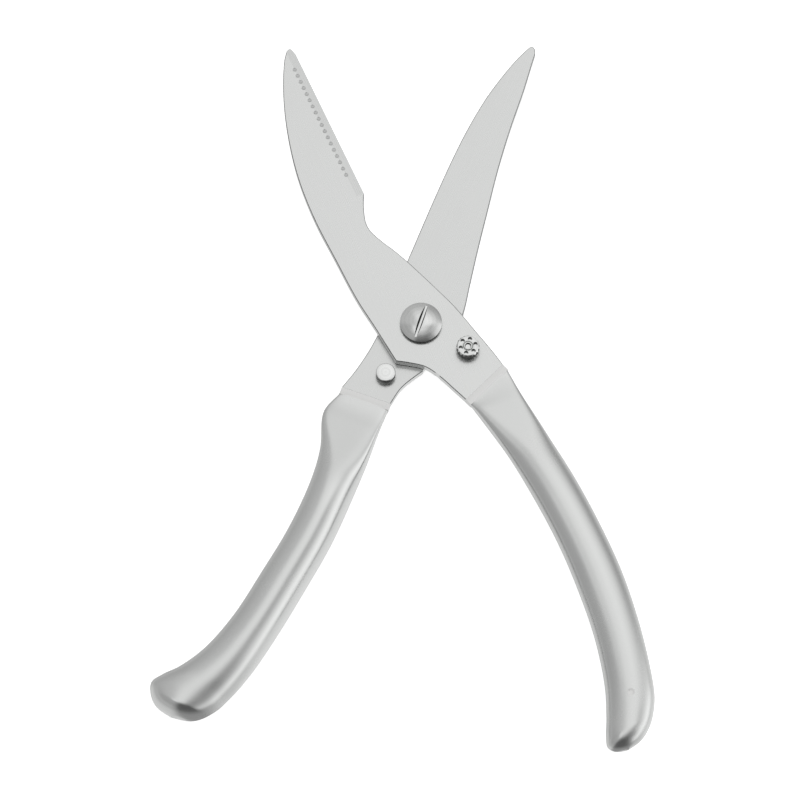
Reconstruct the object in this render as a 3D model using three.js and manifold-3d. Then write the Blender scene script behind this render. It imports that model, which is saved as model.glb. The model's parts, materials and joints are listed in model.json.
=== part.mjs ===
// Poultry shears: two flat blades with hollow handles, crossing on a slotted pivot screw.
//
// Frame: millimetres, +Z up. The shears lie open and flat, with their blades towards +Y.
// The pivot axis is Z. Z = 0 is the plane that the pivot nut and both handles rest on.
// Each half is drawn in its closed position, where the tips meet on +Y, and its group
// then swings it open about Z: the front half (on top) to the left, the back half to the right.

import * as THREE from 'three';
import { mergeVertices } from 'three/addons/utils/BufferGeometryUtils.js';
import Module from 'manifold-3d';

const wasm = await Module();
wasm.setup();

// ---------------------------------------------------------------- driving dimensions

// whole object
const blade_reach = 104.8; // pivot axis to the blade tips
const handle_reach = 146.3; // pivot axis to the far end of the longer, front handle
const opening_angle = 44; // degrees between the closed and the open position

// blades
const plate_thickness = 3.0;
const blade_gap = 0.1; // running gap between the two flat blades
const front_blade_width = 17.8;
const back_blade_width = 17.0;
const edge_bevel_width = 2.6; // ground strip along each cutting edge
const edge_land = 2.4; // plate left at the cutting edge: a strong edge, ground shallow
const notch_depth = 2.8; // bone notch in the front blade
const serration_count = 18;
const serration_length = 41; // first to last serration
const serration_shift = 1.4; // middle of their row, towards the tip from the edge's middle
const serration_inset = 2.4; // centre of a serration, in from the edge
const serration_radius = 0.5;
const serration_depth = 0.35;

// handles
const grip_thickness = 12.0; // both handles, top to bottom
const grip_wall = 1.1;
const back_handle_reach = 141.9; // pivot axis to the far end of the back handle
const front_end_rounding = 5.5; // from the end to the handle's full thickness
const back_end_rounding = 4.2;
const weld_width = 1.5; // weld strip between tang and handle
const joint_gap = 0.1; // between pieces that are welded or pressed face to face
const vent_radius = 1.0; // welded-up vent hole of each hollow handle
const front_vent_share = 0.6325; // of the way along the handle
const back_vent_share = 0.646;
const vent_sink = 0.1; // plug below the handle's surface

// pivot
const shank_radius = 3.5;
const running_gap = 0.06; // radial, on turning fits
const head_radius = 6.5;
const head_rim = 0.8;
const head_dome = 1.7;
const slot_width = 1.2;
const slot_depth = 1.15;
const slot_angle = 71.3; // degrees from +X
const thread_radius = 3.0;
const nut_radius = 6.0;
const nut_floor = 0.9; // metal under the blind thread of the nut
const washer_thickness = 0.35;
const washer_radius = 5.4;
const spring_pocket_radius = 7.0;
const spring_pocket_depth = 1.2; // in each blade
const spring_wire_radius = 0.45;
const spring_turns = 2;
const bush_wall = 0.8;

// stop pin, riveted in the tang of the back half
const pin_radius = 3.0;
const pin_rivet_radius = 1.8;
const pin_height = 2.65; // above the tang
const pin_place = [-4.2, -18.8];

// turning lock on the tang of the front half
const knob_radius = 3.55;
const knob_height = 2.5;
const knob_petals = 6;
const lock_place = [10.2, -13.35];
const spindle_radius = 1.6;
const spindle_end_radius = 1.25; // turned-down ends, in knob and cam
const cam_radius = 4.0;
const cam_flat = 1.95; // from the spindle axis to the cam's flat
const cam_clearance = 0.25; // round the cam in its recess
const cam_foot = 0.25; // cam and spindle above the underside of the back half
const knob_flute_radius = 0.45; // flutes round the knob's rim
const knob_dimple_radius = 0.55;
const knob_dimple_depth = 0.5;
const heel_radius = 14.0; // rounded heel of the back half, inside the path of the cam

// ---------------------------------------------------------------- levels and places

const mid_plane = grip_thickness / 2;
const back_top = mid_plane - blade_gap / 2;
const back_bottom = back_top - plate_thickness;
const front_bottom = mid_plane + blade_gap / 2;
const front_top = front_bottom + plate_thickness;
const head_bottom = front_top + washer_thickness + 2 * joint_gap;
const nut_top = back_bottom - washer_thickness - 2 * joint_gap;
const knob_bottom = front_top + washer_thickness + 2 * joint_gap;
const lock_angle = Math.atan2(lock_place[1], lock_place[0]);

const blade_root = 20.8; // where the crossing plates end and the blades begin
const rad = Math.PI / 180;

// ---------------------------------------------------------------- solids

// A closed triangle geometry as a manifold solid, without the flat triangles at a pole.
function solidOf(geometry) {
  const bare = geometry.index ? geometry.toNonIndexed() : geometry.clone();
  bare.deleteAttribute('normal');
  bare.deleteAttribute('uv');
  const merged = mergeVertices(bare, 1e-5);
  const index = merged.index.array;
  const triangles = [];
  for (let i = 0; i < index.length; i += 3) {
    const [a, b, c] = [index[i], index[i + 1], index[i + 2]];
    if (a !== b && b !== c && c !== a) triangles.push(a, b, c);
  }
  return new wasm.Manifold(new wasm.Mesh({
    numProp: 3,
    vertProperties: new Float32Array(merged.attributes.position.array),
    triVerts: new Uint32Array(triangles),
  }));
}

// The triangles of a manifold solid as a three.js geometry.
function geometryOf(solid) {
  const mesh = solid.getMesh();
  const geometry = new THREE.BufferGeometry();
  geometry.setAttribute('position', new THREE.BufferAttribute(mesh.vertProperties, 3));
  geometry.setIndex(new THREE.BufferAttribute(mesh.triVerts, 1));
  return geometry;
}

// A flat outline given as a THREE.Shape, raised from z = low to z = high.
function plate(shape, low, high, curveSegments = 6) {
  const geometry = new THREE.ExtrudeGeometry(shape, {
    depth: high - low,
    bevelEnabled: false,
    curveSegments,
  });
  return solidOf(geometry.translate(0, 0, low));
}

// A body of revolution about a vertical axis: profile points are [radius, z], from the
// lower pole outwards and up, or a closed ring of them in the same sense.
function turned(profile, place = [0, 0], segments = 40) {
  const points = profile.map(([radius, z]) => new THREE.Vector2(radius, z));
  const geometry = new THREE.LatheGeometry(points, segments).rotateX(Math.PI / 2);
  return solidOf(geometry.translate(place[0], place[1], 0));
}

function disc(radius, low, high, place = [0, 0], segments = 40) {
  return turned([[0, low], [radius, low], [radius, high], [0, high]], place, segments);
}

function ring(inner, outer, low, high, place = [0, 0], segments = 40) {
  const profile = [[inner, low], [outer, low], [outer, high], [inner, high], [inner, low]];
  return turned(profile, place, segments);
}

function block(low, high) {
  const size = high.map((value, axis) => value - low[axis]);
  const geometry = new THREE.BoxGeometry(size[0], size[1], size[2]);
  geometry.translate(low[0] + size[0] / 2, low[1] + size[1] / 2, low[2] + size[2] / 2);
  return solidOf(geometry);
}

function vectors(points) {
  return points.map(([x, y]) => new THREE.Vector2(x, y));
}

// ---------------------------------------------------------------- blade outlines, closed

// A point of a blade: x, and its share of the way from the blade's root to its tip.
function alongBlade(x, share) {
  return [x, blade_root + share * (blade_reach - blade_root)];
}

// The straight cutting edge of the front blade, from the bone notch to the tip.
const front_edge_start = alongBlade(0.1, 0.325);
const front_edge_end = alongBlade(-2.1, 0.97);

// Ends of the two tangs, where the handles are welded on: [outer side, inner side].
const front_tang_end = [[18.4, -22.2], [3.4, -28.6]];
const back_tang_end = [[-15.3, -27.7], [0.7, -27.2]];

function frontOutline() {
  const width = front_blade_width;
  const shape = new THREE.Shape();
  shape.moveTo(-11.8, -8.6);
  shape.splineThru(vectors([
    [-8.1, -10.8],
    [-4.0, -13.9],
    [-1.1, -18.6],
    [1.2, -23.7],
    front_tang_end[1],
  ]));
  shape.lineTo(...front_tang_end[0]);
  shape.splineThru(vectors([[17.0, -16.3], [14.7, -8.2], [12.0, 1.2], [9.0, 9.0], [4.1, blade_root]]));
  shape.splineThru(vectors([
    alongBlade(1.5, 0.064),
    alongBlade(0.6 - 0.6 * notch_depth, 0.12),
    alongBlade(-0.2 - 0.97 * notch_depth, 0.174),
    alongBlade(-0.3 - notch_depth, 0.21),
    alongBlade(-0.1 - 0.55 * notch_depth, 0.275),
    front_edge_start,
  ]));
  shape.lineTo(...front_edge_end);
  shape.lineTo(...alongBlade(-3.1, 1));
  shape.lineTo(...alongBlade(-0.25 * width, 0.995));
  shape.splineThru(vectors([
    alongBlade(-0.37 * width, 0.955),
    alongBlade(-0.66 * width, 0.802),
    alongBlade(-0.862 * width, 0.637),
    alongBlade(-0.98 * width, 0.467),
    alongBlade(-width, 0.29),
    alongBlade(-0.94 * width, 0.11),
    [-15.5, 14.9],
    [-13.7, 3.8],
    [-11.8, -8.6],
  ]));
  return shape;
}

// The curved cutting edge of the back blade, from the root to the tip.
function backEdgePoints() {
  const left = 5.0 - back_blade_width;
  return [
    alongBlade(left - 0.3, 0.0),
    alongBlade(left - 0.4, 0.25),
    alongBlade(left - 0.2, 0.43),
    alongBlade(left + 0.4, 0.571),
    alongBlade(left + 1.8, 0.717),
    alongBlade(left + 3.5, 0.816),
    alongBlade(left + 5.9, 0.921),
    alongBlade(left + 7.6, 0.976),
  ];
}

function backOutline() {
  const heel = [heel_radius * Math.cos(-36 * rad), heel_radius * Math.sin(-36 * rad)];
  const edge = backEdgePoints();
  const shape = new THREE.Shape();
  shape.moveTo(...heel);
  shape.splineThru(vectors([[10.9, 0], [10.4, 10.5], [9.0, 18.6]]));
  shape.splineThru(vectors([
    alongBlade(6.9, 0.123),
    alongBlade(4.8, 0.29),
    alongBlade(2.7, 0.46),
    alongBlade(1.2, 0.633),
    alongBlade(0.2, 0.813),
    alongBlade(-0.7, 0.92),
    alongBlade(-1.1, 0.975),
  ]));
  shape.splineThru(vectors([alongBlade(-1.9, 0.994), alongBlade(-3.1, 1), edge[edge.length - 1]]));
  shape.splineThru(vectors(edge.slice(0, -1).reverse()));
  shape.splineThru(vectors([[-12.0, 6], [-11.6, -8.5], [-13.2, -19.8], back_tang_end[0]]));
  shape.lineTo(...back_tang_end[1]);
  shape.splineThru(vectors([[1.8, -21.2], [3.9, -16.8], [6.6, -12.6], heel]));
  return shape;
}

// The wedge that grinding takes off along a cutting edge. The path follows the edge, the
// metal lies to its right, and the ground face slopes from the plate's outer face.
function bevelCut(path, outer, inner) {
  const side = Math.sign(outer - inner);
  const land = inner + side * edge_land;
  const beyond = side * 1.0;
  const slope = (outer - land) / edge_bevel_width;
  const points = path.map(([x, y]) => new THREE.Vector2(x, y));
  const ringOf = (point, ahead, behind) => {
    const along = ahead.clone().sub(behind).normalize();
    const right = new THREE.Vector2(along.y, -along.x);
    const at = (offset, z) => [point.x + right.x * offset, point.y + right.y * offset, z];
    const reach = edge_bevel_width + beyond / slope;
    return [at(-1.0, land - slope), at(reach, outer + beyond), at(-1.0, outer + beyond)];
  };
  const rings = points.map((point, i) => {
    const ahead = points[Math.min(i + 1, points.length - 1)];
    const behind = points[Math.max(i - 1, 0)];
    return ringOf(point, ahead, behind);
  });
  return loft(rings);
}

// A closed solid through a row of rings with the same number of points, capped flat.
function loft(rings) {
  const count = rings[0].length;
  const positions = rings.flat(2);
  const index = [];
  for (let r = 0; r + 1 < rings.length; r += 1) {
    for (let k = 0; k < count; k += 1) {
      const a = r * count + k;
      const b = r * count + ((k + 1) % count);
      index.push(a, b, b + count, a, b + count, a + count);
    }
  }
  const last = (rings.length - 1) * count;
  for (let k = 1; k + 1 < count; k += 1) {
    index.push(0, k + 1, k);
    index.push(last, last + k, last + k + 1);
  }
  const geometry = new THREE.BufferGeometry();
  geometry.setAttribute('position', new THREE.Float32BufferAttribute(positions, 3));
  geometry.setIndex(index);
  const solid = solidOf(geometry);
  return solid.volume() < 0 ? solidOf(reversed(geometry)) : solid;
}

function reversed(geometry) {
  const index = Array.from(geometry.index.array);
  for (let i = 0; i < index.length; i += 3) {
    [index[i + 1], index[i + 2]] = [index[i + 2], index[i + 1]];
  }
  const turnedOut = geometry.clone();
  turnedOut.setIndex(index);
  return turnedOut;
}

// ---------------------------------------------------------------- handles, closed

// Edges of a handle seen from above, from the tang to the end: [share of the way down,
// outer x, inner x]. The first row is the handle's mouth at the weld.
const front_grip = [
  [0.05, 20.0, 4.9],
  [0.17, 22.3, 8.1],
  [0.31, 24.7, 10.4],
  [0.45, 25.9, 11.6],
  [0.58, 26.0, 11.4],
  [0.71, 24.5, 10.1],
  [0.83, 21.9, 7.1],
  [0.905, 19.4, 3.75],
  [0.95, 16.3, 1.3],
  [0.975, 13.5, 0.5],
  [0.991, 10.5, 2.0],
];
const back_grip = [
  [0.07, -17.5, 0.8],
  [0.17, -14.0, 1.4],
  [0.27, -12.7, 1.5],
  [0.41, -13.1, 1.1],
  [0.55, -15.2, -0.7],
  [0.69, -17.8, -2.9],
  [0.80, -21.8, -5.2],
  [0.87, -26.5, -7.4],
  [0.905, -30.1, -8.9],
  [0.935, -32.2, -10.4],
  [0.97, -30.5, -13.4],
  [0.99, -27.7, -16.6],
];

function smooth(from, to, value) {
  const t = THREE.MathUtils.clamp((value - from) / (to - from), 0, 1);
  return t * t * (3 - 2 * t);
}

// One handle: its mouth runs beside the weld, and its rows of edge points lead to a rounded end.
function grip({ mouth, rows, reach, tip_x, seam, rounding }) {
  const away = (i) => new THREE.Vector3(mouth[i][0], mouth[i][1], 0);
  const start = (mouth[0][1] + mouth[1][1]) / 2;
  const down = (share) => start + share * (-reach - start);
  const outer = [away(0), ...rows.map(([share, x]) => new THREE.Vector3(x, down(share), 0))];
  const inner = [away(1), ...rows.map(([share, , x]) => new THREE.Vector3(x, down(share), 0))];
  const tip = new THREE.Vector3(tip_x, -reach, 0);
  outer.push(tip);
  inner.push(tip.clone());
  const outerCurve = new THREE.CatmullRomCurve3(outer, false, 'centripetal');
  const innerCurve = new THREE.CatmullRomCurve3(inner, false, 'centripetal');
  return { outerCurve, innerCurve, seam, reach, rounding };
}

// The cross-section of a handle at u, drawn in by a wall: flat at the weld, rounded further on.
function sectionAt(handle, u, wall) {
  const a = handle.outerCurve.getPoint(u);
  const b = handle.innerCurve.getPoint(u);
  const middle = a.clone().add(b).multiplyScalar(0.5);
  const swell = smooth(0, 0.275, u);
  const nearEnd = THREE.MathUtils.clamp(1 - (handle.reach + middle.y) / handle.rounding, 0, 1);
  const end = Math.sqrt(1 - nearEnd ** 2);
  const rise = (limit) => (plate_thickness / 2 + (limit - plate_thickness / 2) * swell) * end;
  return {
    middle,
    across: a.clone().sub(b).normalize(),
    side: Math.max(a.distanceTo(b) / 2 - wall, 0.05),
    up: Math.max(rise(grip_thickness - handle.seam) - wall, 0.05),
    below: Math.max(rise(handle.seam) - wall, 0.05),
    power: 2 / (8 - 5.9 * smooth(0, 0.2, u)),
  };
}

// Rings of a handle between two values of u; a wall of 0 gives the outer surface.
function gripRings(handle, wall, from, to, steps, around = 16) {
  const rings = [];
  for (let i = 0; i <= steps; i += 1) {
    const section = sectionAt(handle, from + ((to - from) * i) / steps, wall);
    const { middle, across, side, up, below, power } = section;
    const points = [];
    for (let k = 0; k < around; k += 1) {
      const angle = (k / around) * 2 * Math.PI;
      const c = Math.cos(angle);
      const s = Math.sin(angle);
      const x = Math.sign(c) * Math.abs(c) ** power * side;
      const z = Math.sign(s) * Math.abs(s) ** power * (s > 0 ? up : below);
      points.push([middle.x + across.x * x, middle.y + across.y * x, handle.seam + z]);
    }
    rings.push(points);
  }
  return rings;
}

function gripShells(handle) {
  const outside = loft(gripRings(handle, 0, 0, 0.995, 32));
  const hollow = loft(gripRings(handle, grip_wall, 0.1, 0.84, 20));
  const walls = outside.subtract(hollow);
  const far = 400;
  const upper = block([-far, -far, handle.seam + joint_gap / 2], [far, far, far]);
  const lower = block([-far, -far, -far], [far, far, handle.seam - joint_gap / 2]);
  return { upper: walls.intersect(upper), lower: walls.intersect(lower) };
}

// A strip of weld across the end of a tang, ground flush with it.
function weldStrip(end, low, high) {
  const [a, b] = end.map(([x, y]) => new THREE.Vector2(x, y));
  const down = new THREE.Vector2(b.y - a.y, a.x - b.x).normalize();
  if (down.y > 0) down.negate();
  const near = down.clone().multiplyScalar(joint_gap);
  const distant = down.clone().multiplyScalar(joint_gap + weld_width);
  const corners = [
    a.clone().add(near),
    b.clone().add(near),
    b.clone().add(distant),
    a.clone().add(distant),
  ];
  return plate(new THREE.Shape(corners), low, high);
}

// The handle's mouth: the tang's end moved past the weld strip.
function mouthOf(end) {
  const [a, b] = end.map(([x, y]) => new THREE.Vector2(x, y));
  const down = new THREE.Vector2(b.y - a.y, a.x - b.x).normalize();
  if (down.y > 0) down.negate();
  down.multiplyScalar(weld_width + 2 * joint_gap);
  return [[a.x + down.x, a.y + down.y], [b.x + down.x, b.y + down.y]];
}

const front_handle = grip({
  mouth: mouthOf(front_tang_end),
  rows: front_grip,
  reach: handle_reach,
  tip_x: 6.0,
  seam: (front_bottom + front_top) / 2,
  rounding: front_end_rounding,
});
const back_handle = grip({
  mouth: mouthOf(back_tang_end),
  rows: back_grip,
  reach: back_handle_reach,
  tip_x: -22.6,
  seam: (back_bottom + back_top) / 2,
  rounding: back_end_rounding,
});

// ---------------------------------------------------------------- pieces of the front half

const pocket_top = front_bottom + spring_pocket_depth;
const pocket_bottom = back_top - spring_pocket_depth;
const coil_radius = (spring_pocket_radius + shank_radius + running_gap + bush_wall) / 2;
const leg_hole_play = 0.2; // past the end of a spring leg
const leg_hole_radius = spring_wire_radius + 0.15;
const leg_depth = 0.9; // a spring leg's reach past its pocket

function frontBlade() {
  let solid = plate(frontOutline(), front_bottom, front_top);
  solid = solid.subtract(bevelCut([front_edge_end, front_edge_start], front_top, front_bottom));
  solid = solid.subtract(disc(shank_radius + running_gap, front_bottom - 1, front_top + 1));
  solid = solid.subtract(disc(spring_pocket_radius, front_bottom - 1, pocket_top));
  const leg_place = [coil_radius, 0];
  const leg_hole_top = pocket_top + leg_depth + leg_hole_play;
  solid = solid.subtract(disc(leg_hole_radius, pocket_top - 0.5, leg_hole_top, leg_place, 12));
  const spindle_hole = disc(spindle_radius + running_gap, front_bottom - 1, front_top + 1, lock_place, 24);
  solid = solid.subtract(spindle_hole);
  // seat of the stop pin in the inner edge of the tang
  const pin_seat = disc(pin_radius + running_gap, front_bottom - 1, front_top + 1, pin_place, 32);
  solid = solid.subtract(pin_seat);
  return solid.subtract(serrations());
}

// Round-bottomed serrations in a row along the front cutting edge.
function serrations() {
  const start = new THREE.Vector2(...front_edge_start);
  const end = new THREE.Vector2(...front_edge_end);
  const along = end.clone().sub(start).normalize();
  const into = new THREE.Vector2(-along.y, along.x);
  const middle = start.clone().add(end).multiplyScalar(0.5).addScaledVector(along, serration_shift);
  const depth_at_row = (front_top - front_bottom - edge_land) * (1 - serration_inset / edge_bevel_width);
  const surface = front_top - depth_at_row;
  let all = null;
  for (let i = 0; i < serration_count; i += 1) {
    const step = (i / (serration_count - 1) - 0.5) * serration_length;
    const at = middle.clone().addScaledVector(along, step).addScaledVector(into, serration_inset);
    const low = surface - serration_depth;
    const clear = surface + 2;
    const profile = [[0, low], [serration_radius * 0.6, low], [serration_radius, clear], [0, clear]];
    const cut = turned(profile, [at.x, at.y], 8);
    all = all ? all.add(cut) : cut;
  }
  return all;
}

function lockKnob() {
  const low = knob_bottom;
  const high = low + knob_height;
  const chamfer = 0.35;
  let solid = turned([
    [spindle_end_radius + running_gap, low],
    [knob_radius - chamfer, low],
    [knob_radius, low + chamfer],
    [knob_radius, high - chamfer],
    [knob_radius - chamfer, high],
    [spindle_end_radius + running_gap, high],
    [spindle_end_radius + running_gap, low],
  ], lock_place, 36);
  for (let i = 0; i < 2 * knob_petals; i += 1) {
    const angle = (i / (2 * knob_petals)) * 2 * Math.PI;
    const reach = knob_radius + knob_flute_radius / 3;
    const place = [lock_place[0] + reach * Math.cos(angle), lock_place[1] + reach * Math.sin(angle)];
    solid = solid.subtract(disc(knob_flute_radius, low - 1, high + 1, place, 8));
  }
  for (let i = 0; i < knob_petals; i += 1) {
    const angle = ((i + 0.25) / knob_petals) * 2 * Math.PI;
    const reach = (knob_radius + spindle_end_radius) / 2;
    const place = [lock_place[0] + reach * Math.cos(angle), lock_place[1] + reach * Math.sin(angle)];
    const dimple = [[0, high - knob_dimple_depth], [knob_dimple_radius, high + 0.05], [0, high + 0.05]];
    solid = solid.subtract(turned(dimple, place, 8));
  }
  return solid;
}

function lockSpindle() {
  const top = knob_bottom + knob_height + 0.1;
  const cam_bottom = back_bottom + cam_foot;
  const cam_top = front_bottom - joint_gap;
  return turned([
    [0, cam_bottom],
    [spindle_end_radius, cam_bottom],
    [spindle_end_radius, cam_top],
    [spindle_radius, cam_top],
    [spindle_radius, knob_bottom - joint_gap],
    [spindle_end_radius, knob_bottom - joint_gap],
    [spindle_end_radius, top],
    [spindle_end_radius * 0.6, top],
    [spindle_end_radius * 0.5, top - 1.0],
    [0, top - 1.0],
  ], lock_place, 24);
}

// A disc with one flat. Unlocked, the flat faces the pivot and passes outside the heel.
function lockCam() {
  const low = back_bottom + cam_foot;
  const high = front_bottom - joint_gap - 0.05;
  const round = disc(cam_radius, low, high, lock_place, 40);
  const hole = disc(spindle_end_radius + running_gap, low - 1, high + 1, lock_place, 24);
  const towards_pivot = [-Math.cos(lock_angle), -Math.sin(lock_angle)];
  const cutter = new THREE.BoxGeometry(cam_radius, 3 * cam_radius, 3 * plate_thickness);
  cutter.translate(cam_flat + cam_radius / 2, 0, (low + high) / 2);
  cutter.rotateZ(Math.atan2(towards_pivot[1], towards_pivot[0]));
  cutter.translate(lock_place[0], lock_place[1], 0);
  return round.subtract(hole).subtract(solidOf(cutter));
}

// A thin spring ring, waved so that it presses the knob away from the tang.
function lockWasher() {
  const low = front_top + joint_gap;
  return ring(spindle_radius + 0.2, knob_radius - 0.5, low, low + washer_thickness, lock_place, 24);
}

// The welded-up vent hole in the wall of a hollow handle: the hole, and the plug that fills it.
// It lies in the middle of the handle, in its upper (side 1) or lower (side -1) shell.
function vent(handle, u, side) {
  const section = sectionAt(handle, u, 0);
  const place = [section.middle.x, section.middle.y];
  const surface = handle.seam + (side > 0 ? section.up : -section.below);
  const cut = (radius, outwards, inwards) => {
    const ends = [surface + side * outwards, surface - side * inwards];
    return disc(radius, Math.min(...ends), Math.max(...ends), place, 16);
  };
  return {
    hole: cut(vent_radius + joint_gap / 2, 1, grip_wall + 1),
    plug: cut(vent_radius, -vent_sink, grip_wall),
  };
}

// ---------------------------------------------------------------- pieces of the back half

function backBlade() {
  let solid = plate(backOutline(), back_bottom, back_top);
  const curve = new THREE.CatmullRomCurve3(
    backEdgePoints().map(([x, y]) => new THREE.Vector3(x, y, 0)), false, 'centripetal');
  const path = curve.getPoints(14).slice(3).map((point) => [point.x, point.y]);
  solid = solid.subtract(bevelCut(path, back_bottom, back_top));
  solid = solid.subtract(disc(shank_radius + running_gap, back_bottom - 1, back_top + 1));
  solid = solid.subtract(disc(spring_pocket_radius, pocket_bottom, back_top + 1));
  const leg_place = [-coil_radius, 0];
  const leg_hole_bottom = pocket_bottom - leg_depth - leg_hole_play;
  solid = solid.subtract(disc(leg_hole_radius, leg_hole_bottom, pocket_bottom + 0.5, leg_place, 12));
  const rivet_hole = disc(pin_rivet_radius + running_gap, back_bottom - 1, back_top + 1, pin_place, 24);
  solid = solid.subtract(rivet_hole);
  // recess that takes the lock's cam when the shears are closed
  const cam_recess = disc(cam_radius + cam_clearance, back_bottom - 1, back_top + 1, lock_place, 40);
  return solid.subtract(cam_recess);
}

function stopPin() {
  const low = back_bottom;
  const seat = back_top + joint_gap / 2;
  const high = back_top + pin_height;
  const chamfer = 0.3;
  return turned([
    [0, low],
    [pin_rivet_radius, low],
    [pin_rivet_radius, seat],
    [pin_radius, seat],
    [pin_radius, high - chamfer],
    [pin_radius - chamfer, high],
    [0, high],
  ], pin_place, 32);
}

// ---------------------------------------------------------------- pivot

function pivotScrew() {
  const rim_top = head_bottom + head_rim;
  const thread_end = nut_floor + joint_gap;
  const shoulder = nut_top;
  const profile = [
    [0, thread_end],
    [thread_radius, thread_end],
    [thread_radius, shoulder],
    [shank_radius, shoulder],
    [shank_radius, head_bottom],
    [head_radius, head_bottom],
    [head_radius, rim_top],
  ];
  const steps = 5;
  for (let i = 1; i <= steps; i += 1) {
    const share = 1 - i / steps;
    profile.push([head_radius * share, rim_top + head_dome * (1 - share ** 2)]);
  }
  const slot = new THREE.BoxGeometry(3 * head_radius, slot_width, 2 * slot_depth);
  slot.rotateZ(slot_angle * rad);
  slot.translate(0, 0, rim_top + head_dome);
  return turned(profile, [0, 0], 44).subtract(solidOf(slot));
}

function pivotNut() {
  const chamfer = 0.4;
  return turned([
    [0, 0],
    [nut_radius - chamfer, 0],
    [nut_radius, chamfer],
    [nut_radius, nut_top - joint_gap],
    [thread_radius + running_gap, nut_top - joint_gap],
    [thread_radius + running_gap, nut_floor],
    [0, nut_floor],
  ], [0, 0], 40);
}

// The hidden return spring: a coil around the bush, with an upright leg at each end.
class SpringPath extends THREE.Curve {
  getPoint(t, target = new THREE.Vector3()) {
    const leg = 0.06;
    const low = pocket_bottom + spring_wire_radius + 0.05;
    const high = pocket_top - spring_wire_radius - 0.05;
    const share = THREE.MathUtils.clamp((t - leg) / (1 - 2 * leg), 0, 1);
    const first = Math.PI - (opening_angle / 2) * rad;
    const last = (opening_angle / 2) * rad + spring_turns * 2 * Math.PI;
    const angle = first + share * (last - first);
    let z = low + share * (high - low);
    if (t < leg) z -= (leg_depth + spring_wire_radius) * (1 - t / leg);
    if (t > 1 - leg) z += (leg_depth + spring_wire_radius) * (1 - (1 - t) / leg);
    return target.set(coil_radius * Math.cos(angle), coil_radius * Math.sin(angle), z);
  }
}

function returnSpring() {
  const section = new THREE.Shape();
  section.absarc(0, 0, spring_wire_radius, 0, 2 * Math.PI);
  const geometry = new THREE.ExtrudeGeometry(section, {
    steps: 60,
    curveSegments: 3,
    bevelEnabled: false,
    extrudePath: new SpringPath(),
  });
  return solidOf(geometry);
}

// ---------------------------------------------------------------- assembly

const satin_steel = new THREE.MeshStandardMaterial({ color: 0xc9cac9, roughness: 0.38, metalness: 1 });
const ground_steel = new THREE.MeshStandardMaterial({ color: 0xd2d3d2, roughness: 0.3, metalness: 1 });
const weld_steel = new THREE.MeshStandardMaterial({ color: 0xd8d8d6, roughness: 0.42, metalness: 1 });
const turned_steel = new THREE.MeshStandardMaterial({ color: 0xb9bab9, roughness: 0.25, metalness: 1 });
const spring_steel = new THREE.MeshStandardMaterial({ color: 0x8f9092, roughness: 0.35, metalness: 1 });

function piece(name, solid, material) {
  const mesh = new THREE.Mesh(geometryOf(solid), material.clone());
  mesh.name = name;
  return mesh;
}

const front_shells = gripShells(front_handle);
const back_shells = gripShells(back_handle);
const front_vent = vent(front_handle, front_vent_share, 1);
const back_vent = vent(back_handle, back_vent_share, -1);

const front_half = new THREE.Group();
front_half.rotation.z = (opening_angle / 2) * rad;
front_half.add(
  piece('front_blade', frontBlade(), ground_steel),
  piece('front_weld', weldStrip(front_tang_end, front_bottom, front_top), weld_steel),
  piece('front_handle_upper_shell', front_shells.upper.subtract(front_vent.hole), satin_steel),
  piece('front_handle_lower_shell', front_shells.lower, satin_steel),
  piece('front_vent_plug', front_vent.plug, weld_steel),
  piece('lock_knob', lockKnob(), turned_steel),
  piece('lock_washer', lockWasher(), spring_steel),
  piece('lock_spindle', lockSpindle(), turned_steel),
  piece('lock_cam', lockCam(), turned_steel),
);

const back_half = new THREE.Group();
back_half.rotation.z = (-opening_angle / 2) * rad;
back_half.add(
  piece('back_blade', backBlade(), ground_steel),
  piece('back_weld', weldStrip(back_tang_end, back_bottom, back_top), weld_steel),
  piece('back_handle_upper_shell', back_shells.upper, satin_steel),
  piece('back_handle_lower_shell', back_shells.lower.subtract(back_vent.hole), satin_steel),
  piece('back_vent_plug', back_vent.plug, weld_steel),
  piece('stop_pin', stopPin(), turned_steel),
);

const pivot = new THREE.Group();
const under_head = front_top + joint_gap;
const under_nut = back_bottom - joint_gap - washer_thickness;
const bush_low = pocket_bottom + joint_gap;
const bush_high = pocket_top - joint_gap;
const bore = shank_radius + running_gap;
pivot.add(
  piece('pivot_screw', pivotScrew(), turned_steel),
  piece('head_washer', ring(bore, washer_radius, under_head, under_head + washer_thickness), spring_steel),
  piece('pivot_bush', ring(bore, bore + bush_wall, bush_low, bush_high), turned_steel),
  piece('return_spring', returnSpring(), spring_steel),
  piece('nut_washer', ring(bore, washer_radius, under_nut, under_nut + washer_thickness), spring_steel),
  piece('pivot_nut', pivotNut(), turned_steel),
);

const shears = new THREE.Group();
shears.add(front_half, back_half, pivot);

export default shears;
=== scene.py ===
# Poultry shears, all stainless steel: the fine meshes, the steels and the studio.
# Shapes are drawn in millimetres and brought to metres when each piece is placed.
import json
import math

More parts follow.
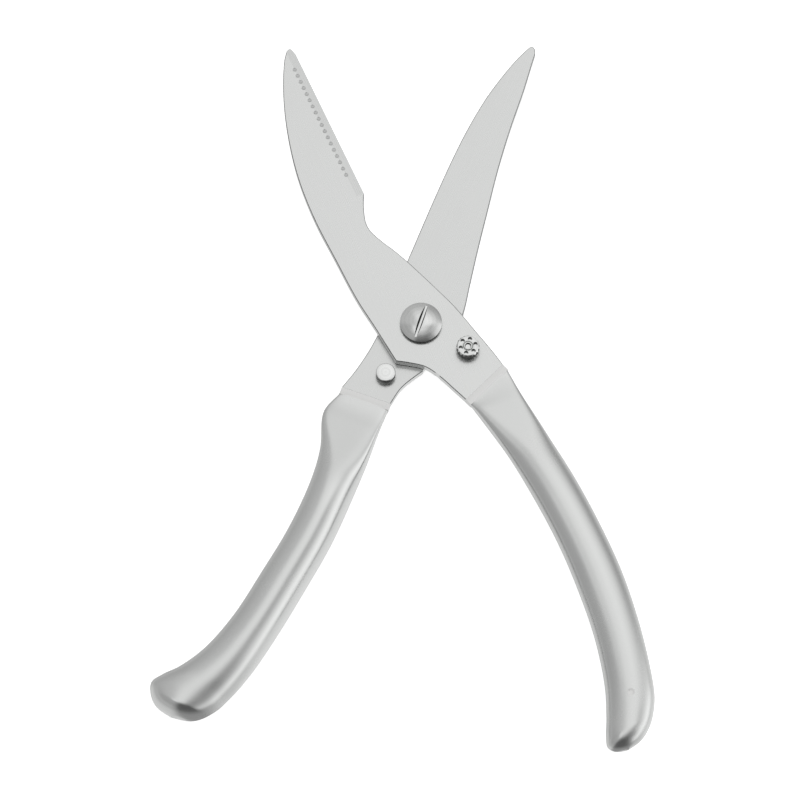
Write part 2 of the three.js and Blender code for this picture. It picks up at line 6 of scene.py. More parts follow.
import bmesh
import bpy
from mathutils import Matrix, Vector


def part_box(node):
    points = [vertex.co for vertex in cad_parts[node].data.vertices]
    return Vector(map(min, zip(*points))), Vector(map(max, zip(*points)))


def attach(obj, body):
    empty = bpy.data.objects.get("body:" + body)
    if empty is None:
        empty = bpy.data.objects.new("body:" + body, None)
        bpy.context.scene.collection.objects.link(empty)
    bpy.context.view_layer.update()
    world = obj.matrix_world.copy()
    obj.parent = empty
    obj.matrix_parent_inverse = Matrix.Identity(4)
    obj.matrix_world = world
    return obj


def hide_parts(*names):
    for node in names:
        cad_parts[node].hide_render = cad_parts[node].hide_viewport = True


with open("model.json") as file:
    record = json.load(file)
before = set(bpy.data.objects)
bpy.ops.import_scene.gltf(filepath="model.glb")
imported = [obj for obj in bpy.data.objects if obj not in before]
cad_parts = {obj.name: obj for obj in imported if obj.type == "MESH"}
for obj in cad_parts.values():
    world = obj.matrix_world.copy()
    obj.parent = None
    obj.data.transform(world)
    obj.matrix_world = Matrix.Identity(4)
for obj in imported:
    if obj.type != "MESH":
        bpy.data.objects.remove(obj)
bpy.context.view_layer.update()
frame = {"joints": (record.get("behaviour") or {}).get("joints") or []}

MM = 0.001

# ---------------------------------------------------------------- places, from the frame

JOINTS = {joint["name"]: joint for joint in frame["joints"]}
HALF_OPENING = math.radians(JOINTS["blade_pivot"]["range_deg"][1] / 2)
LOCK_PLACE = [value / MM for value in JOINTS["lock_turn"]["pos_m"][:2]]


def span(node, axis):
    """Lowest and highest coordinate of a node along an axis, in millimetres."""
    low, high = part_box(node)
    return low[axis] / MM, high[axis] / MM


def centre(node):
    return [sum(span(node, axis)) / 2 for axis in (0, 1)]


FRONT_LOW, FRONT_HIGH = span("front_blade", 2)
BACK_LOW, BACK_HIGH = span("back_blade", 2)
PLATE = FRONT_HIGH - FRONT_LOW
KNOB_LOW, KNOB_HIGH = span("lock_knob", 2)

# ---------------------------------------------------------------- sizes

# Each half is drawn as it lies when the shears are shut, with the tips on +Y and the screw at 0.
ARRIS = 0.22  # rounding of the plates' edges
BLADE_ROOT = 20.8  # from the screw to where a blade begins
BLADE_REACH = 104.8  # from the screw to the tips
FRONT_WIDTH = 17.8
BACK_WIDTH = 17.0
NOTCH = 2.8  # depth of the bone notch
HEEL_RADIUS = 14.0
GRIND_WIDTH = 2.6  # of the strip ground along a cutting edge
EDGE_LAND = 2.4  # thickness left at the edge
SERRATIONS = 18
SERRATION_ROW = 41.0  # from the first one's middle to the last one's
SERRATION_INSET = 2.45  # from the edge to the row
SERRATION_SHIFT = 1.4  # of the row from the middle of the edge, towards the tip
SERRATION_PUNCH = 1.17  # radius of the punch
SERRATION_LIFT = 0.52  # of the punch's middle over the steel
SERRATION_FACE = 0.05  # mm2: only the serrations have smaller faces

BORE = 3.56  # of the plates, round the screw
SHANK_RADIUS = 3.5
THREAD_RADIUS = 3.0
BUSH_WALL = 0.8
POCKET_RADIUS = 7.0  # of the spring's pocket
POCKET_DEPTH = 1.2
HEAD_RADIUS = 6.5
SLOT_WIDTH = 1.6
SLOT_DEPTH = 1.15
SLOT_TURN = math.radians(71.3)

PIN_PLACE = (-4.2, -18.8)
PIN_BORE = 1.86
PIN_REST = 3.06  # the round that the front tang's edge has where it meets the pin
LOCK_CLOSED = (10.2, -13.35)
LOCK_BORE = 1.66
CAM_RADIUS = 4.0
CAM_RECESS = 4.25
CAM_FLAT = 1.95  # from the cam's axis to its flat

WELD_WIDTH = 1.5
JOINT_GAP = 0.1
FRONT_REACH = 146.3  # from the screw to the handle's end
BACK_REACH = 141.9
FRONT_END_X = 6.0
BACK_END_X = -22.6
FRONT_END_ROUNDING = 5.5
BACK_END_ROUNDING = 4.2
GRIP_THICKNESS = 12.0  # of both handles, top to bottom
WALL = 1.1
TRIM = 0.07  # off each side of a handle, by its polishing
HOLLOW_START, HOLLOW_LENGTH = 0.1, 0.74  # shares of the handle
FRONT_VENT_SHARE = 0.6325
BACK_VENT_SHARE = 0.646
VENT_RADIUS = 1.0
VENT_GAP = 0.01

FRONT_TANG_END = ((18.4, -22.2), (3.4, -28.6))
BACK_TANG_END = ((-15.3, -27.7), (0.7, -27.2))

# Handles, from the tang down: share of the way, x of the outer edge, x of the inner edge.
FRONT_GRIP = (
    (0.05, 20.0, 4.9), (0.17, 22.3, 8.1), (0.31, 24.7, 10.4), (0.45, 25.9, 11.6),
    (0.58, 26.0, 11.4), (0.71, 24.5, 10.1), (0.83, 21.9, 7.1), (0.905, 19.4, 3.75),
    (0.95, 16.3, 1.3), (0.975, 13.5, 0.5), (0.991, 10.5, 2.0),
)
BACK_GRIP = (
    (0.07, -17.5, 0.8), (0.17, -14.0, 1.4), (0.27, -12.7, 1.5), (0.41, -13.1, 1.1),
    (0.55, -15.2, -0.7), (0.69, -17.8, -2.9), (0.80, -21.8, -5.2), (0.87, -26.5, -7.4),
    (0.905, -30.1, -8.9), (0.935, -32.2, -10.4), (0.97, -30.5, -13.4), (0.99, -27.7, -16.6),
)


# ---------------------------------------------------------------- curves

def smooth(low, high, value):
    """0 below low, 1 above high, and an even rise between them."""
    share = min(max((value - low) / (high - low), 0), 1)
    return share * share * (3 - 2 * share)


def spline(points, share):
    """A point of the smooth curve through the points, at a share of their number."""
    points = [Vector(point) for point in points]
    place = share * (len(points) - 1)
    index = min(int(place), len(points) - 2)
    before = points[index - 1] if index else 2 * points[0] - points[1]
    start, end = points[index], points[index + 1]
    after = points[index + 2] if index + 2 < len(points) else 2 * end - start
    pairs = ((before, start), (start, end), (end, after))
    first, own, last = (max((b - a).length, 1e-6) ** 0.5 for a, b in pairs)
    lead = (start - before) / first - (end - before) / (first + own) + (end - start) / own
    trail = (end - start) / own - (after - start) / (own + last) + (after - end) / last
    lead, trail = lead * own, trail * own
    t = place - index
    return (
        start * (2 * t**3 - 3 * t**2 + 1) + lead * (t**3 - 2 * t**2 + t)
        + end * (3 * t**2 - 2 * t**3) + trail * (t**3 - t**2)
    )


def run(points, step=0.9):
    """Points about a step apart along the smooth curve through the points, without the first."""
    length = sum((Vector(b) - Vector(a)).length for a, b in zip(points, points[1:]))
    count = max(2, round(length / step))
    return [tuple(spline(points, i / count)) for i in range(1, count + 1)]


def circle(place, radius, sides=48):
    """The corners of a round hole."""
    turn = [2 * math.pi * i / sides for i in range(sides)]
    return [(place[0] + radius * math.cos(a), place[1] + radius * math.sin(a)) for a in turn]


def eased(profile, radius, steps=3):
    """A profile whose inner corners are rounded."""
    points = [Vector(point) for point in profile]
    result = [tuple(points[0])]
    for before, corner, after in zip(points, points[1:], points[2:]):
        reach = min(radius, (corner - before).length * 0.45, (after - corner).length * 0.45)
        start = corner + (before - corner).normalized() * reach
        end = corner + (after - corner).normalized() * reach
        for i in range(steps + 1):
            t = i / steps
            result.append(tuple(start * (1 - t) ** 2 + corner * 2 * t * (1 - t) + end * t * t))
    return result + [tuple(points[-1])]


# ---------------------------------------------------------------- modelling

def only(piece):
    """Selects one piece and nothing else."""
    bpy.ops.object.select_all(action="DESELECT")
    piece.select_set(True)
    bpy.context.view_layer.objects.active = piece


def added(name):
    """Names the object that was just added."""
    piece = bpy.context.object
    piece.name = piece.data.name = name
    return piece


def tidy(piece, merge=1e-4):
    """Joins doubled corners and turns every face outwards."""
    only(piece)
    bpy.ops.object.mode_set(mode="EDIT")
    bpy.ops.mesh.select_all(action="SELECT")
    bpy.ops.mesh.remove_doubles(threshold=merge)
    bpy.ops.mesh.normals_make_consistent(inside=False)
    bpy.ops.object.mode_set(mode="OBJECT")


def modify(piece, kind, **settings):
    """Adds a modifier and applies it."""
    only(piece)
    modifier = piece.modifiers.new(kind.lower(), kind)
    for name, value in settings.items():
        setattr(modifier, name, value)
    bpy.ops.object.modifier_apply(modifier=modifier.name)


def cut(piece, *tools):
    """Takes the tools' shapes out of a piece."""
    for tool in tools:
        modify(piece, "BOOLEAN", operation="DIFFERENCE", solver="EXACT", object=tool)
        bpy.data.objects.remove(tool)


def cylinder(radius, low, high, place=(0, 0), sides=64):
    """A round tool to cut with."""
    bpy.ops.mesh.primitive_cylinder_add(
        vertices=sides, radius=radius, depth=high - low, location=(*place, (low + high) / 2))
    bpy.ops.object.transform_apply()
    return bpy.context.object


def joined(tools):
    """Many tools as one."""
    only(tools[0])
    for tool in tools:
        tool.select_set(True)
    bpy.ops.object.join()
    return tools[0]


def plate(name, outline, low, high, holes):
    """A flat plate: its outline and holes are a filled flat curve, raised, with rounded arrises."""
    curve = bpy.data.curves.new(name, "CURVE")
    curve.dimensions = "2D"
    curve.fill_mode = "BOTH"
    for loop in (outline, *holes):
        line = curve.splines.new("POLY")
        line.points.add(len(loop) - 1)
        for point, place in zip(line.points, loop):
            point.co = (place[0], place[1], 0, 1)
        line.use_cyclic_u = True
    curve.extrude = (high - low) / 2 - ARRIS
    curve.bevel_depth = ARRIS
    curve.bevel_resolution = 1
    curve.offset = -ARRIS
    piece = bpy.data.objects.new(name, curve)
    bpy.context.collection.objects.link(piece)
    piece.location.z = (low + high) / 2
    only(piece)
    bpy.ops.object.convert(target="MESH")
    bpy.ops.object.transform_apply()
    tidy(piece, 2e-3)
    return piece


def turned(name, profile, place=(0, 0), sides=96):
    """A turned body: a disc, extruded ring by ring along its (radius, height) profile.
    A profile that ends at radius 0 closes in a point, and one that ends where it began is a ring."""
    radius, height = profile[0]
    closed = profile[0] == profile[-1]
    bpy.ops.mesh.primitive_circle_add(
        vertices=sides, radius=radius, fill_type="NOTHING" if closed else "NGON",
        location=(*place, height))
    piece = added(name)
    bpy.ops.object.mode_set(mode="EDIT")
    for new_radius, new_height in profile[1:]:
        bpy.ops.mesh.extrude_region_move()
        bpy.ops.transform.translate(value=(0, 0, new_height - height))
        if new_radius == 0:
            bpy.ops.mesh.merge(type="CENTER")
            break
        bpy.ops.transform.resize(
            value=(new_radius / radius, new_radius / radius, 1), center_override=(*place, new_height))
        radius, height = new_radius, new_height
    bpy.ops.object.mode_set(mode="OBJECT")
    bpy.ops.object.transform_apply()
    tidy(piece)
    return piece


def lofted(name, rings):
    """A closed body through rings of points: a disc is extruded from ring to ring.
    Each corner keeps its number in the ring, so that it goes to its own point."""
    bpy.ops.mesh.primitive_circle_add(vertices=len(rings[0]), radius=1, fill_type="NGON")
    piece = added(name)
    number = piece.data.attributes.new("corner", "INT", "POINT")
    number.data.foreach_set("value", range(len(rings[0])))
    bpy.ops.object.mode_set(mode="EDIT")
    for ring in rings:
        if ring is not rings[0]:
            bpy.ops.mesh.extrude_region_move()
        mesh = bmesh.from_edit_mesh(piece.data)
        corner = mesh.verts.layers.int["corner"]
        for vertex in mesh.verts:
            if vertex.select:
                vertex.co = ring[vertex[corner]]
        bmesh.update_edit_mesh(piece.data, loop_triangles=False)
    bpy.ops.object.mode_set(mode="OBJECT")
    piece.data.attributes.remove(piece.data.attributes["corner"])
    tidy(piece)
    return piece


def copied(piece, name):
    """A copy with a mesh of its own."""
    twin = piece.copy()
    twin.data = piece.data.copy()
    twin.name = twin.data.name = name
    bpy.context.collection.objects.link(twin)
    return twin


def placed(piece, node, body, material, swing=0, angle=15):
    """Swings a piece open, brings it to metres and puts it on its body in place of its node."""
    piece.rotation_euler.z = swing
    piece.scale = (MM, MM, MM)
    only(piece)
    bpy.ops.object.transform_apply()
    bpy.ops.object.shade_smooth_by_angle(angle=math.radians(angle))
    piece.data.materials.clear()
    piece.data.materials.append(material)
    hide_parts(node)
    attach(piece, body)


def finished(piece, finish, test):
    """Gives another finish to the faces that pass a test of middle, normal and area (mm, mm2)."""
    piece.data.materials.append(finish)
    for face in piece.data.polygons:
        if test(face.center / MM, face.normal, face.area / MM**2):
            face.material_index = len(piece.data.materials) - 1


# ---------------------------------------------------------------- steels

def linear(code):
    """The linear colour of an sRGB hex value."""
    parts = [int(code[i:i + 2], 16) / 255 for i in (0, 2, 4)]
    return [p / 12.92 if p <= 0.04045 else ((p + 0.055) / 1.055) ** 2.4 for p in parts] + [1]


def add(tree, kind, inputs=None, **settings):
    """Adds a node with its settings. An input is a value, or the socket that it is linked from."""
    made = tree.nodes.new(kind)
    for name, value in settings.items():
        setattr(made, name, value)
    for name, value in (inputs or {}).items():
        if isinstance(value, bpy.types.NodeSocket):
            tree.links.new(value, made.inputs[name])
        else:
            made.inputs[name].default_value = value
    return made


def steel(
        name, dark, light, roughness, grain, grain_stretch, bump,
        rough_change=0.05, turn=0.0, place=None):
    """A bare stainless steel. Its finishing marks are noise with a grain in millimetres, drawn
    out along one direction by a stretch, or rings about a place where it was turned on a lathe.
    Slow smudges, 14 mm across, change its colour and gloss a little."""
    material = bpy.data.materials.new(name)
    material.use_nodes = True
    tree = material.node_tree
    shader = tree.nodes["Principled BSDF"]
    shader.inputs["Metallic"].default_value = 1.0
    where = add(tree, "ShaderNodeTexCoord").outputs["Object"]
    if place is None:
        turned_to = add(tree, "ShaderNodeMapping", {"Vector": where, "Rotation": (0, 0, turn)})
        drawn = add(tree, "ShaderNodeMapping", {
            "Vector": turned_to.outputs["Vector"],
            "Scale": (1 / (grain * MM), 1 / (grain * grain_stretch * MM), 1 / (grain * MM)),
        })
        marks = add(tree, "ShaderNodeTexNoise", {
            "Vector": drawn.outputs["Vector"], "Scale": 1.0, "Detail": 3.0, "Roughness": 0.6,
        }).outputs["Fac"]
    else:
        centred = add(tree, "ShaderNodeMapping", {
            "Vector": where, "Location": (-place[0] * MM, -place[1] * MM, 0),
        })
        marks = add(tree, "ShaderNodeTexWave", {
            "Vector": centred.outputs["Vector"], "Scale": 1 / (grain * MM * 20),
            "Distortion": 0.6, "Detail": 2.0,
        }, wave_type="RINGS", rings_direction="Z").outputs["Fac"]
    smudges = add(tree, "ShaderNodeTexNoise", {
        "Vector": where, "Scale": 1 / (14 * MM), "Detail": 4.0, "Roughness": 0.55,
    }).outputs["Fac"]
    blend = add(tree, "ShaderNodeMath", {0: smudges, 1: marks}, operation="ADD")
    share = add(tree, "ShaderNodeMapRange", {
        "Value": blend.outputs["Value"], "From Min": 0.7, "From Max": 1.3,
    })
    colour = add(tree, "ShaderNodeMix", {
        "Factor": share.outputs["Result"], "A": linear(dark), "B": linear(light),
    }, data_type="RGBA")
    tree.links.new(colour.outputs["Result"], shader.inputs["Base Color"])
    gloss = add(tree, "ShaderNodeMapRange", {
        "Value": blend.outputs["Value"], "From Min": 0.7, "From Max": 1.3,
        "To Min": roughness - rough_change, "To Max": roughness + rough_change,
    })
    tree.links.new(gloss.outputs["Result"], shader.inputs["Roughness"])
    relief = add(tree, "ShaderNodeBump", {"Strength": bump, "Distance": 0.01 * MM, "Height": marks})
    tree.links.new(relief.outputs["Normal"], shader.inputs["Normal"])
    return material


# Satin stainless: bead-blasted and then softly buffed, so reflections melt into wide soft bands.
SATIN = steel("satin_stainless", "d0d1d0", "d4d5d4", 0.25, 0.6, 1.0, 0.012, 0.03)
# Belt-ground blade steel: even, very fine lines along the blade, a little flatter in tone. The
# real lines are under 0.1 mm wide, and are drawn at 0.4 mm so that they show at all.
FRONT_GROUND = steel(
    "front_ground_stainless", "d0d1d0", "d8d9d8", 0.27, 0.4, 40.0, 0.01, turn=-HALF_OPENING)
BACK_GROUND = steel(
    "back_ground_stainless", "cdcecd", "d5d6d5", 0.27, 0.4, 40.0, 0.01, turn=HALF_OPENING)
# Weld dressed flush with a fine wheel: paler and less even than the parts that it joins.
DRESSED = steel("dressed_weld", "d0d0cf", "dadad9", 0.32, 0.3, 4.0, 0.05)
# Lathe-turned stainless: faint rings about the axis.
TURNED = steel("turned_screw_steel", "d4d5d4", "d8d9d8", 0.2, 0.2, 1.0, 0.006, 0.01, place=(0, 0))
TURNED_LOCK = steel(
    "turned_lock_steel", "d2d3d2", "dadbda", 0.17, 0.15, 1.0, 0.01, 0.02, place=LOCK_PLACE)
TURNED_PIN = steel(
    "turned_pin_steel", "dadbda", "e0e1e0", 0.2, 0.2, 1.0, 0.008, 0.01, place=centre("stop_pin"))
# Milled and left as cut, a little duller than the turned faces, and painted near black as painted
# shade:
# the walls of the screw's slot and of the knob's pockets and flutes, the hollow in the spindle's top,
# and the sides of the screw's head and the pin take this colour in place of the shade that falls
# there. They read as fine dark lines.
SHADED_MILLED = steel("milled_steel_painted_shade", "3c3d3c", "5a5b5a", 0.34, 0.3, 1.0, 0.1)
# Broken edge: the arris of a blanked plate, taken off by hand with a stone, a little duller than the
# plate, and painted much darker as painted shade. It reads as a fine dark outline, the shade along
# the plates' side walls and between the plates.
STONED_SHADED = steel("stoned_arris_painted_shade", "6a6b6a", "868786", 0.36, 0.3, 1.0, 0.06)
# Pressed serrations: duller dents left by a round punch. They read as a row of soft grey spots.
PRESSED = steel("pressed_serration", "bfc0bf", "cccdcc", 0.42, 0.3, 1.0, 0.02)
# Drawn spring wire and spring washers: darker, with drawing lines.
SPRING = steel("drawn_spring_steel", "8e8f91", "9a9b9d", 0.3, 0.1, 6.0, 0.10)


# ---------------------------------------------------------------- blades

def along_blade(x, share):
    """A point at a share of the way from a blade's root to its tip."""
    return x, BLADE_ROOT + share * (BLADE_REACH - BLADE_ROOT)


FRONT_EDGE = (along_blade(0.1, 0.325), along_blade(-2.1, 0.97))


def front_outline():
    """Anticlockwise from the heel: the tang's inner side, end and outer side, notch, edge, spine."""
    w = FRONT_WIDTH
    heel = (-11.8, -8.6)
    outer, inner = FRONT_TANG_END
    root = (4.1, BLADE_ROOT)
    points = [heel]
    points += run([heel, (-8.1, -10.8), (-4.0, -13.9), (-1.1, -18.6), (1.2, -23.7), inner])
    points.append(outer)
    points += run([outer, (17.0, -16.3), (14.7, -8.2), (12.0, 1.2), (9.0, 9.0), root])
    points += run([
        root, along_blade(1.5, 0.064), along_blade(0.6 - 0.6 * NOTCH, 0.12),
        along_blade(-0.2 - 0.97 * NOTCH, 0.174), along_blade(-0.3 - NOTCH, 0.21),
        along_blade(-0.1 - 0.55 * NOTCH, 0.275), FRONT_EDGE[0]], 0.6)
    points.append(FRONT_EDGE[1])
    tip = along_blade(-0.25 * w, 0.995)
    points += run([FRONT_EDGE[1], along_blade(-3.1, 1), tip], 0.5)
    points += run([
        tip, along_blade(-0.37 * w, 0.955), along_blade(-0.66 * w, 0.802),
        along_blade(-0.862 * w, 0.637), along_blade(-0.98 * w, 0.467), along_blade(-w, 0.29),
        along_blade(-0.94 * w, 0.11), (-15.5, 14.9), (-13.7, 3.8), heel], 1.2)
    return points[:-1]


def back_edge():
    """The curved cutting edge, from the root to the tip."""
    left = 5.0 - BACK_WIDTH
    return [
        along_blade(left - 0.3, 0.0), along_blade(left - 0.4, 0.25),
        along_blade(left - 0.2, 0.43), along_blade(left + 0.4, 0.571),
        along_blade(left + 1.8, 0.717), along_blade(left + 3.5, 0.816),
        along_blade(left + 5.9, 0.921), along_blade(left + 7.6, 0.976),
    ]


def back_outline():
    """Anticlockwise from the rounded heel: spine, tip, cutting edge, tang."""
    slant = math.radians(-36)
    heel = (HEEL_RADIUS * math.cos(slant), HEEL_RADIUS * math.sin(slant))
    edge = back_edge()
    outer, inner = BACK_TANG_END
    spine_end = along_blade(-1.1, 0.975)
    points = [heel]
    points += run([heel, (10.9, 0), (10.4, 10.5), (9.0, 18.6), along_blade(6.9, 0.123),
                   along_blade(4.8, 0.29), along_blade(2.7, 0.46), along_blade(1.2, 0.633),
                   along_blade(0.2, 0.813), along_blade(-0.7, 0.92), spine_end], 1.2)
    points += run([spine_end, along_blade(-1.9, 0.994), along_blade(-3.1, 1), edge[-1]], 0.5)
    points += run(edge[::-1], 1.2)
    points += run([edge[0], (-12.0, 6), (-11.6, -8.5), (-13.2, -19.8), outer])
    points.append(inner)
    points += run([inner, (1.8, -21.2), (3.9, -16.8), (6.6, -12.6), heel])
    return points[:-1]


def grinding_wedge(path, outer, inner):
    """The wedge that grinding takes off along a cutting edge. The metal lies right of the path."""
    side = math.copysign(1, outer - inner)
    land = inner + side * EDGE_LAND
    slope = (outer - land) / GRIND_WIDTH
    reach = GRIND_WIDTH + 1 / abs(slope)
    rings = []
    for i, point in enumerate(path):
        ahead = Vector(path[min(i + 1, len(path) - 1)]) - Vector(path[max(i - 1, 0)])
        right = Vector((ahead.y, -ahead.x)).normalized()
        foot = Vector(point)
        rings.append([
            (*(foot + right * offset), z)
            for offset, z in ((-1, land - slope), (reach, outer + side), (-1, outer + side))
        ])
    return lofted("wedge", rings)


def serration_tools():
    """Round-nosed punches in a row inside the front cutting edge."""
    start, end = (Vector(point) for point in FRONT_EDGE)
    along = (end - start).normalized()
    inwards = Vector((-along.y, along.x))
    middle = (start + end) / 2 + along * SERRATION_SHIFT + inwards * SERRATION_INSET
    land = FRONT_LOW + EDGE_LAND
    surface = land + (FRONT_HIGH - land) * SERRATION_INSET / GRIND_WIDTH
    tools = []
    for i in range(SERRATIONS):
        place = middle + along * (i / (SERRATIONS - 1) - 0.5) * SERRATION_ROW
        bpy.ops.mesh.primitive_uv_sphere_add(
            segments=40, ring_count=24, radius=SERRATION_PUNCH,
            location=(*place, surface + SERRATION_LIFT))
        tool = bpy.context.object
        tool.scale = (1.0, 0.85, 0.6)
        tool.rotation_euler.z = math.atan2(along.y, along.x) + math.pi / 2
        only(tool)
        bpy.ops.object.transform_apply()
        tools.append(tool)
    return joined(tools)


def arris_of(low, high):
    """A test for the faces of a plate's rounded arrises, which are larger than a serration's."""
    def on_arris(middle, normal, area):
        near_face = min(middle.z - low, high - middle.z) < ARRIS
        return near_face and 0.2 < abs(normal.z) < 0.96 and area > SERRATION_FACE
    return on_arris


def in_serration(middle, normal, area):
    """A test for the small faces of the front blade's serrations."""
    return FRONT_HIGH - middle.z < 0.5 and normal.z > 0.3 and area < SERRATION_FACE


def front_blade():
    holes = [circle((0, 0), BORE), circle(LOCK_CLOSED, LOCK_BORE, 32)]
    blade = plate("front_blade_ground", front_outline(), FRONT_LOW, FRONT_HIGH, holes)
    start, end = (Vector(point) for point in FRONT_EDGE)
    beyond = (end - start).normalized() * 3
    cut(
        blade,
        grinding_wedge([end + beyond, start - beyond * 0.1], FRONT_HIGH, FRONT_LOW),
        cylinder(POCKET_RADIUS, FRONT_LOW - 1, FRONT_LOW + POCKET_DEPTH),
        cylinder(PIN_REST, FRONT_LOW - 1, FRONT_HIGH + 1, PIN_PLACE),
        serration_tools(),
    )
    placed(blade, "front_blade", "front_half", FRONT_GROUND, HALF_OPENING, 10)
    # The rounded arrises take the dark stoned finish: painted shade along the outline.
    finished(blade, STONED_SHADED, arris_of(FRONT_LOW, FRONT_HIGH))
    finished(blade, PRESSED, in_serration)


def back_blade():
    holes = [circle((0, 0), BORE), circle(PIN_PLACE, PIN_BORE, 32)]
    blade = plate("back_blade_ground", back_outline(), BACK_LOW, BACK_HIGH, holes)
    edge = back_edge()
    path = [spline(edge, i / 40) for i in range(5, 41)]
    path.append(path[-1] + (path[-1] - path[-2]).normalized() * 6)
    cut(
        blade,
        grinding_wedge(path, BACK_LOW, BACK_HIGH),
        cylinder(POCKET_RADIUS, BACK_HIGH - POCKET_DEPTH, BACK_HIGH + 1),
        cylinder(CAM_RECESS, BACK_LOW - 1, BACK_HIGH + 1, LOCK_CLOSED),
    )
    placed(blade, "back_blade", "back_half", BACK_GROUND, -HALF_OPENING, 10)
    # The rounded arrises take the dark stoned finish: painted shade along the outline.
    finished(blade, STONED_SHADED, arris_of(BACK_LOW, BACK_HIGH))


# ---------------------------------------------------------------- handles

def mouth(tang_end, away):
    """The two corners of a tang's end, moved down past the weld."""
    a, b = (Vector(point) for point in tang_end)
    down = Vector((b.y - a.y, a.x - b.x)).normalized()
    if down.y > 0:
        down.negate()
    return [a + down * away, b + down * away]


def grip(tang_end, rows, reach, end_x, seam, rounding):
    """A handle's outer and inner edges, from its tang to its rounded end."""
    outer_start, inner_start = mouth(tang_end, WELD_WIDTH + 2 * JOINT_GAP)
    start = (outer_start.y + inner_start.y) / 2
    down = [start + share * (-reach - start) for share, _, _ in rows]
    outer = [outer_start, *[(x, y) for (_, x, _), y in zip(rows, down)], (end_x, -reach)]
    inner = [inner_start, *[(x, y) for (_, _, x), y in zip(rows, down)], (end_x, -reach)]
    return {"outer": outer, "inner": inner, "seam": seam, "reach": reach, "rounding": rounding}


def section(handle, share, wall):
    """Middle, direction across, half width, rise above and below the seam, and corner power.
    The section is a rounded slab as thick as the plate at the tang, and an oval further down."""
    a, b = spline(handle["outer"], share), spline(handle["inner"], share)
    middle = (a + b) / 2
    swell = smooth(0, 0.275, share)
    near_end = min(max(1 - (handle["reach"] + middle.y) / handle["rounding"], 0), 1)
    end = math.sqrt(1 - near_end ** 2)

    def rise(limit):
        return max((PLATE / 2 + (limit - PLATE / 2) * swell) * end - wall, 0.03)

    across = (a - b).normalized()
    side = max((a - b).length / 2 - wall - TRIM, 0.03)
    power = 2 / (8 - 5.9 * smooth(0, 0.2, share))
    return middle, across, side, rise(GRIP_THICKNESS - handle["seam"]), rise(handle["seam"]), power


def grip_ring(handle, share, wall, around):
    """The corners of a handle's section, a wall's thickness inside its surface."""
    middle, across, side, up, below, power = section(handle, share, wall)
    ring = []
    for k in range(around):
        angle = 2 * math.pi * k / around
        c, s = math.cos(angle), math.sin(angle)
        x = math.copysign(abs(c) ** power, c) * side
        z = math.copysign(abs(s) ** power, s) * (up if s > 0 else below)
        ring.append((*(middle + across * x), handle["seam"] + z))
    return ring


def grip_shells(name, handle, around=64, steps=96):
    """The two pressed shells of a hollow handle: a body and its hollow are lofted, and the
    walls between them are parted at the seam. The body's rings crowd together at its end."""
    last, crowded = 0.9995, 15
    shares = [last * (i / steps) for i in range(steps - crowded + 1)]
    start = shares[-1]
    for i in range(1, crowded + 1):
        shares.append(start + (last - start) * math.sin(math.pi / 2 * i / crowded))
    body = lofted(name, [grip_ring(handle, share, 0, around) for share in shares])
    inside = [HOLLOW_START + HOLLOW_LENGTH * i / 30 for i in range(31)]
    cut(body, lofted("hollow", [grip_ring(handle, share, WALL, 32) for share in inside]))
    shells = []
    for part, side in (("upper", 1), ("lower", -1)):
        shell = copied(body, f"{name}_{part}_shell_satin")
        only(shell)
        bpy.ops.object.mode_set(mode="EDIT")
        bpy.ops.mesh.select_all(action="SELECT")
        bpy.ops.mesh.bisect(
            plane_co=(0, 0, handle["seam"] + side * 0.01), plane_no=(0, 0, side),
            use_fill=True, clear_inner=True)
        bpy.ops.object.mode_set(mode="OBJECT")
        tidy(shell)
        shells.append(shell)
    bpy.data.objects.remove(body)
    return shells


def weld(name, tang_end, low, high):
    """A bead of weld across the end of a tang, dressed to a very low crown that feathers out
    over the tang and the handle on both sides, where its edges sink into them."""
    overlap, crown, sunk = 0.35, 0.035, 0.012
    left, right = mouth(tang_end, 0)
    along = (right - left).normalized()
    down = (mouth(tang_end, 1)[0] - left).normalized()
    width = WELD_WIDTH + 2 * JOINT_GAP
    rings = []
    steps = 12
    for i in range(steps + 1):
        share = i / steps
        across = down * (share * (width + 2 * overlap) - overlap)
        lift = crown * (1 - (2 * share - 1) ** 2) ** 2 - sunk
        a, b = left + across + along * 0.02, right + across - along * 0.02
        rings.append([(*a, low - lift), (*b, low - lift), (*b, high + lift), (*a, high + lift)])
    return lofted(name, rings)


def vent_plug(name, handle, share, side):
    """A button of weld in the vent hole, flush at its rim and dressed to a shallow dish."""
    middle, _, _, up, below, _ = section(handle, share, 0)
    surface = handle["seam"] + (up if side > 0 else -below)
    dish = [
        (VENT_RADIUS, -WALL), (VENT_RADIUS, -0.04), (0.85, -0.06), (0.6, -0.1), (0.3, -0.12),
        (0, -0.125)]
    profile = [(radius, surface + height * side) for radius, height in dish]
    return turned(name, profile, tuple(middle), 40)


